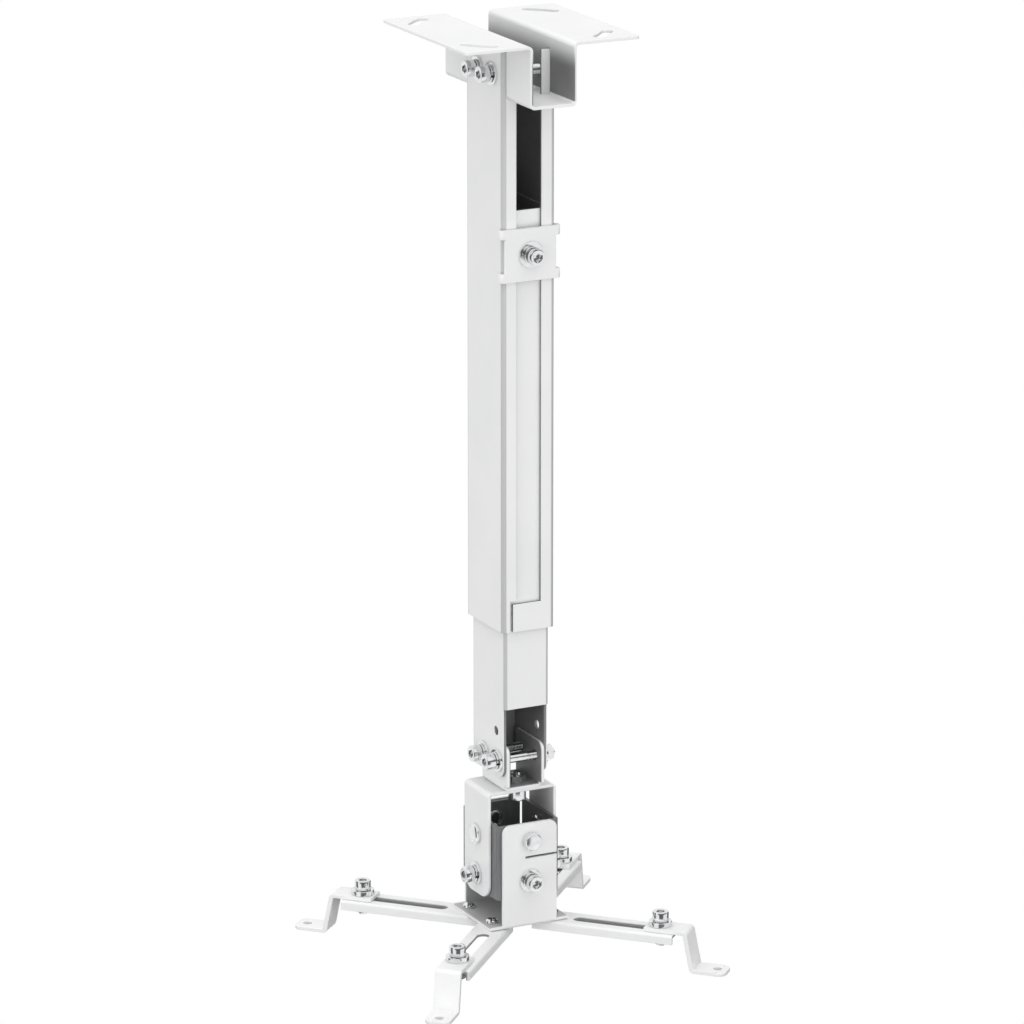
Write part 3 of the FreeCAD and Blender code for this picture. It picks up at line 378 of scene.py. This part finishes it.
def dress(name, body, axis, make, outward=False):
    """Replace a CAD node by a detailed piece where each of its solids is, its top along an axis."""
    millimetre, crease = 0.001, math.radians(32)
    whole = bmesh.new()
    loose = bpy.data.meshes.new("loose")
    for low, high in solids(name):
        middle = (low + high) / 2
        direction = Vector(axis)
        if outward and middle.dot(direction) < 0:
            direction.negate()
        span = high - low
        length = abs(span.dot(direction))
        width = max(span[side] for side in range(3) if abs(direction[side]) < 0.5)
        piece = make(length * 1000, width * 1000)
        place = (Matrix.Translation(middle + direction * length / 2)
                 @ direction.to_track_quat("Z", "Y").to_matrix().to_4x4() @ Matrix.Scale(millimetre, 4))
        bmesh.ops.transform(piece, matrix=place, verts=piece.verts)
        piece.to_mesh(loose)
        piece.free()
        whole.from_mesh(loose)
    bpy.data.meshes.remove(loose)
    mesh = bpy.data.meshes.new(name + "_detail")
    whole.to_mesh(mesh)
    whole.free()
    mesh.shade_smooth()
    mesh.set_sharp_from_angle(angle=crease)
    mesh.materials.append(bright_zinc)
    thing = bpy.data.objects.new(name + "_detail", mesh)
    bpy.context.scene.collection.objects.link(thing)
    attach(thing, body)
    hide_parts(name)


def bolted(prefix, body, axis, outward=False):
    """Dress a set of cap screws with its washers and nuts."""
    dress(prefix + "_screws", body, axis, cap_screw, outward)
    dress(prefix + "_washers", body, axis, flat_washer, outward)
    dress(prefix + "_spring_washers", body, axis, spring_washer, outward)
    dress(prefix + "_nuts", body, axis, hex_nut, outward)


bolted("bracket", "column", (-1, 0, 0))

# Inner column: a closed tube of white coated sheet that slides in the outer one.
# The front of its foot is cut away to reach the yoke, and a spare cross hole is left above it.
# Grey is mixed into the coat inside it as painted shade, and a lighter grey over its upright bends.
inner_bend = 0.0016
inner_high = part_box("inner_column")[1]
coated("inner_column", finish=powder_coat(
    "inner_coat", inside("inner_column", tube_skin, tube_skin),
    bends=(inner_high.x - inner_bend, inner_high.y - inner_bend)))

# Clamp plate: a plate of coated sheet across the column's slot, with four tabs folded round its sides and
# its edges cut back between them.
# One cap screw with a wide washer pulls it against the column and locks the height.
coated("clamp_plate")
bolted("clamp", "telescope", (0, -1, 0))

# Yoke: a U of coated sheet bolted inside the foot of the inner column, with grey mixed into the coat between
# its walls as painted shade.
# Two cap screws like the bracket's go through both.
yoke_skin = 0.0015
coated("yoke", finish=powder_coat("yoke_coat", inside(
    "yoke", (yoke_skin, -past_end, yoke_skin), (yoke_skin, -past_end, -past_end))))
bolted("yoke", "telescope", (-1, 0, 0))

# Swivel bolt: a plated steel bolt with a round head under the swivel bracket, and a nut on the yoke's base.
# The head below turns on it.


def round_bolt(length, width):
    """Bolt with a round chamfered head and a thread at the other end."""
    outside, head, shank, tip, plain = width / 2, 5.6, 2.5, 2.0, 3.6
    return turned([(0, -0.5), (1.2, -0.5), (1.6, 0), (outside - 0.7, 0), (outside - 0.2, -0.2),
                   (outside, -0.7), (outside, 0.3 - head), (outside - 0.3, -head), (shank, -head),
                   (shank, -head - plain)]
                  + thread(shank, -head - plain, 0.8 - length) + [(tip, -length), (0, -length)])


dress("swivel_bolt", "telescope", (0, 0, -1), round_bolt)
dress("swivel_nut", "telescope", (0, 0, 1), hex_nut)

# Swivel bracket: an inverted U of coated sheet that holds the gimbal box between its walls.
# Rivets carry the pitch, and a lock screw on each side holds it.


def rivet(length, width, head=2.6):
    """Pivot rivet with a low crowned head and a formed tail."""
    outside, shank, tail = width / 2, 3.0, 2.0 - length
    return turned([(0, 0), (outside * 0.45, -0.05), (outside * 0.78, -0.28), (outside * 0.93, -0.65),
                   (outside, -1.2), (outside, 0.25 - head), (outside - 0.25, -head), (shank, -head),
                   (shank, tail), (3.4, tail), (min(4.5, outside), 1.6 - length),
                   (min(4.4, outside), 0.7 - length), (3.6, 0.15 - length), (2.0, -length),
                   (0, 0.3 - length)])


# Grey is mixed into the coat between the walls as painted shade, deepening from 10 mm before the front to 20
# mm behind it.
swivel_skin, before_mouth, behind_mouth = 0.0012, 0.010, 0.020
swivel_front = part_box("swivel_bracket")[0].y
coated("swivel_bracket", finish=powder_coat("swivel_coat", inside(
    "swivel_bracket", (swivel_skin, -past_end, -past_end), (swivel_skin, -past_end, swivel_skin)),
    ("Y", swivel_front - before_mouth, swivel_front + behind_mouth)))
dress("pitch_rivets", "swivel", (1, 0, 0), rivet, outward=True)
bolted("pitch_lock", "swivel", (1, 0, 0), outward=True)

# Gimbal box: a sleeve folded from plain grey steel sheet and left open along one corner.
# It turns between the coated brackets, and has arc slots for their lock screws.


def bare_steel():
    """Cold-rolled grey steel with rolling marks along the sheet and a dull, slightly uneven gloss."""
    finish, wire = new_finish("grey_steel")
    spot = wire.node("ShaderNodeTexCoord", {}, {}, "Object")
    rolled = wire.node("ShaderNodeMapping", {}, {"Vector": spot, "Scale": (1, 1, 0.04)})
    marks = noise(wire, rolled, 1500, 3)
    cloud = noise(wire, spot, 60, 3)
    colour = shades(wire, marks * 0.6 + cloud * 0.4, (0.15, 0.152, 0.157), (0.23, 0.232, 0.238))
    bump = wire.node("ShaderNodeBump", {}, {"Height": marks, "Strength": 0.12, "Distance": 0.00005})
    shader = wire.node("ShaderNodeBsdfPrincipled", {}, {
        "Base Color": colour, "Metallic": 0.5, "Roughness": 0.30 + cloud * 0.12 + marks * 0.08,
        "Normal": bump})
    wire.node("ShaderNodeOutputMaterial", {}, {"Surface": shader})
    return finish


grey_steel = bare_steel()
coated("gimbal_box", finish=grey_steel)

# Hub: a U of coated sheet round the gimbal box, with a wide base that carries the arms.
# Long pins carry the roll, and lock screws hold it front and back.


def roll_pin(length, width):
    """Roll pivot with a long plain head, slightly crowned."""
    outside, head, shank, tail = width / 2, 5.0, 3.0, 2.0 - length
    return turned([(0, 0), (outside * 0.35, -0.05), (outside * 0.65, -0.2), (outside - 0.4, -0.45),
                   (outside, -0.9), (outside, 0.2 - head), (outside - 0.2, -head), (shank, -head),
                   (shank, tail), (4.3, tail), (4.5, 1.7 - length), (4.4, 0.7 - length), (3.6, 0.15 - length),
                   (2.0, -length), (0, 0.3 - length)])


# Grey is mixed into the coat inside the U and over its base as painted shade, at a share of 0.6.
hub_skin, hub_floor, half_shaded = 0.0014, 0.0012, 0.6
coated("hub_bracket", finish=powder_coat("hub_coat", inside(
    "hub_bracket", (-past_end, hub_skin, hub_floor), (-past_end, hub_skin, -past_end)), shade_share=half_shaded))
dress("roll_rivets", "hub", (0, 1, 0), roll_pin, outward=True)
bolted("roll_lock", "hub", (0, 1, 0), outward=True)

# Arm pivots: four slotted round-head screws of plated steel, each with a nut under its arm.
# The slot is sawn across the head after heading.


def slotted_screw(length, width):
    """Round-head screw of M4 with a sawn slot, its head's top at zero."""
    outside, head, shank, tip, plain, pitch = width / 2, 2.4, 2.0, 1.6, 2.0, 0.7
    slot, depth, turned_by, tail = 0.5, 1.15, math.radians(-35), -length
    mesh = turned([(0, 0), (outside * 0.4, -0.08), (outside * 0.7, -0.35), (outside * 0.9, -0.85),
                   (outside, -1.5), (outside, 0.15 - head), (outside - 0.15, -head), (shank, -head),
                   (shank, -head - plain)]
                  + thread(shank, -head - plain, tail + 0.6, pitch) + [(tip, tail), (0, tail)])
    for spot, across in (((-slot, 0, 0), (1, 0, 0)), ((slot, 0, 0), (1, 0, 0)), ((0, 0, -depth), (0, 0, 1))):
        bmesh.ops.bisect_plane(mesh, geom=mesh.verts[:] + mesh.edges[:] + mesh.faces[:], dist=0.0001,
                               plane_co=spot, plane_no=across)
    sawn = [face for face in mesh.faces if abs(face.calc_center_median().x) < slot
            and face.calc_center_median().z > -depth]
    bmesh.ops.delete(mesh, geom=sawn, context="FACES")
    rim = [vert for vert in mesh.verts if vert.is_boundary]
    floor_line = [vert for vert in rim if abs(vert.co.z + depth) < hair]
    for side in (-slot, slot):
        wall = [vert for vert in rim if abs(vert.co.x - side) < hair]
        mesh.faces.new(sorted(wall, key=lambda vert: vert.co.y))
    mesh.faces.new(sorted(floor_line, key=lambda vert: math.atan2(vert.co.y, vert.co.x)))
    bmesh.ops.recalc_face_normals(mesh, faces=mesh.faces)
    bmesh.ops.rotate(mesh, verts=mesh.verts, cent=(0, 0, 0), matrix=Matrix.Rotation(turned_by, 3, "Z"))
    return mesh


def pivot_nut(length, width):
    """Small nut of an arm pivot."""
    return hex_nut(length, width, 7.0, 1.8)


dress("hub_screws", "hub", (0, 0, 1), slotted_screw)
dress("hub_nuts", "hub", (0, 0, -1), pivot_nut)

# Arms and feet: slotted channels and cranked strips of coated sheet, one pair to each corner of the hub.
# A cap screw through the slot holds each foot, with a spring washer and a flat washer on each side.


def foot_washer(length, width):
    """Flat or spring washer of a foot's screw, told apart by its width."""
    widest_spring = 10
    return flat_washer(length, width) if width > widest_spring else spring_washer(length, width)


# Grey is mixed into each arm's coat as painted shade, inside its channel below the top, at a share of 0.8.
arm_half, behind_pivot, beyond_foot, arm_top, mostly_shaded = 0.0079, 0.02, 0.1, 0.0006, 0.8
joint_at = {joint["name"]: Vector(joint["pos_m"]) for joint in frame["joints"]
            if joint["type"] == "hinge"}
for corner in ("front_left", "front_right", "back_left", "back_right"):
    pivot, slider = joint_at["arm_swing_" + corner], joint_at["foot_turn_" + corner]
    along = slider - pivot
    arm_low, arm_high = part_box("arm_" + corner)
    arm_inside = ((pivot.x - behind_pivot, pivot.y - arm_half, arm_low.z - past_end),
                  (pivot.x + beyond_foot, pivot.y + arm_half, arm_high.z - arm_top))
    coated("arm_" + corner, finish=powder_coat("arm_coat_" + corner, arm_inside, shade_share=mostly_shaded,
                                               turn=(pivot, math.atan2(along.y, along.x))))
    coated("foot_" + corner)
    dress("foot_screw_" + corner, "slider_" + corner, (0, 0, 1), cap_screw)
    dress("foot_nut_" + corner, "slider_" + corner, (0, 0, -1), hex_nut)
    dress("foot_washers_" + corner, "slider_" + corner, (0, 0, 1), foot_washer)

# Floor and light: a pale floor well below the hanging mount, and four soft light panels, above, in front,
# to the left and behind. The camera sees white all round, and so does polished metal, which also shows
# three upright dark flags round the object and a level one in front, above it.
floor_radius, floor_drop = 0.7, 0.30
floor_mesh = bpy.data.meshes.new("floor")
floor_bm = bmesh.new()
bmesh.ops.create_circle(floor_bm, cap_ends=True, segments=64, radius=floor_radius)
bmesh.ops.translate(floor_bm, verts=floor_bm.verts, vec=(0, 0, cad_box[0][2] - floor_drop))
floor_bm.to_mesh(floor_mesh)
floor_bm.free()
floor = bpy.data.objects.new("floor", floor_mesh)
bpy.context.scene.collection.objects.link(floor)


def seen_white(wire):
    """One for rays from the camera, a mirror or glass, and none for light that falls on a surface."""
    rays = [wire.node("ShaderNodeLightPath", {}, {}, output)
            for output in ("Is Camera Ray", "Is Glossy Ray", "Is Transmission Ray")]
    return wire.math("MAXIMUM", rays[0], wire.math("MAXIMUM", rays[1], rays[2]))


floor_finish, wire = new_finish("floor")
pale = wire.node("ShaderNodeBsdfDiffuse", {}, {"Color": (0.95, 0.95, 0.95, 1)})
grey = wire.node("ShaderNodeBsdfDiffuse", {}, {"Color": (0.10, 0.10, 0.10, 1)})
mixed = wire.node("ShaderNodeMixShader", {}, {"Fac": seen_white(wire), 1: grey, 2: pale})
wire.node("ShaderNodeOutputMaterial", {}, {"Surface": mixed})
floor_mesh.materials.append(floor_finish)

world = bpy.data.worlds.new("studio")
bpy.context.scene.world = world
world.use_nodes = True
world.node_tree.nodes.clear()
wire = Wire(world.node_tree)
towards = wire.node("ShaderNodeTexCoord", {}, {}, "Generated")
x, y, z = [measured(wire, towards, axis) for axis in "XYZ"]
front, left = 0 - y, 0 - x
fill, narrowing = 0.04, 4
panels = [strength * wire.math("POWER", wire.math("MAXIMUM", side, 0.0), narrowing)
          for strength, side in ((2.35, z), (2.2, front), (1.65, left), (1.3, y))]
tent = fill + panels[0] + panels[1] + panels[2] + panels[3]
dark, bright = (0.10, 0.10, 0.10, 1), (1, 1, 1, 1)
round_tent = wire.math("ARCTAN2", x, front) * (0.5 / math.pi) + 0.5
upright = wire.node("ShaderNodeValToRGB", {"stops": [
    (0.000, bright), (0.135, bright), (0.155, dark), (0.225, dark), (0.250, bright), (0.360, bright),
    (0.385, dark), (0.520, dark), (0.545, bright), (0.695, bright), (0.720, dark), (0.835, dark),
    (0.860, bright), (1.000, bright)]}, {"Fac": round_tent})
level = eased(wire, wire.math("ABSOLUTE", z), 0.55, 0.35)
above = eased(wire, z, 0.0, 0.1)
ahead = eased(wire, front, 0.3, 0.5, 0.9)
flags = (wire.node("ShaderNodeLightPath", {}, {}, "Is Glossy Ray")
         * wire.math("MAXIMUM", 1 - upright, above * ahead) * level)
white = seen_white(wire)
sky = wire.node("ShaderNodeBackground", {}, {"Color": (1, 1, 1, 1),
                                             "Strength": tent * (1 - white) + white * (1 - flags)})
wire.node("ShaderNodeOutputWorld", {}, {"Surface": sky})

# Camera at the photograph's angle: high front left, far away with a long lens.
azimuth, elevation, distance = math.radians(-26.65), math.radians(15.86), 3.0
aim, aim_right, aim_down = Vector((0, 0, -0.2485)), 0.00078, 0.00036
back = Vector((math.sin(azimuth) * math.cos(elevation), -math.cos(azimuth) * math.cos(elevation),
               math.sin(elevation)))
across = Vector((math.cos(azimuth), math.sin(azimuth), 0))
eye = bpy.data.cameras.new("camera")
eye.sensor_width = 36
eye.lens = 208.6
eye.clip_end = 100
camera = bpy.data.objects.new("camera", eye)
camera.location = aim + across * aim_right - back.cross(across) * aim_down + back * distance
camera.rotation_euler = back.to_track_quat("Z", "Y").to_euler()
bpy.context.scene.collection.objects.link(camera)
bpy.context.scene.camera = camera
bpy.context.scene.view_settings.view_transform = "Standard"
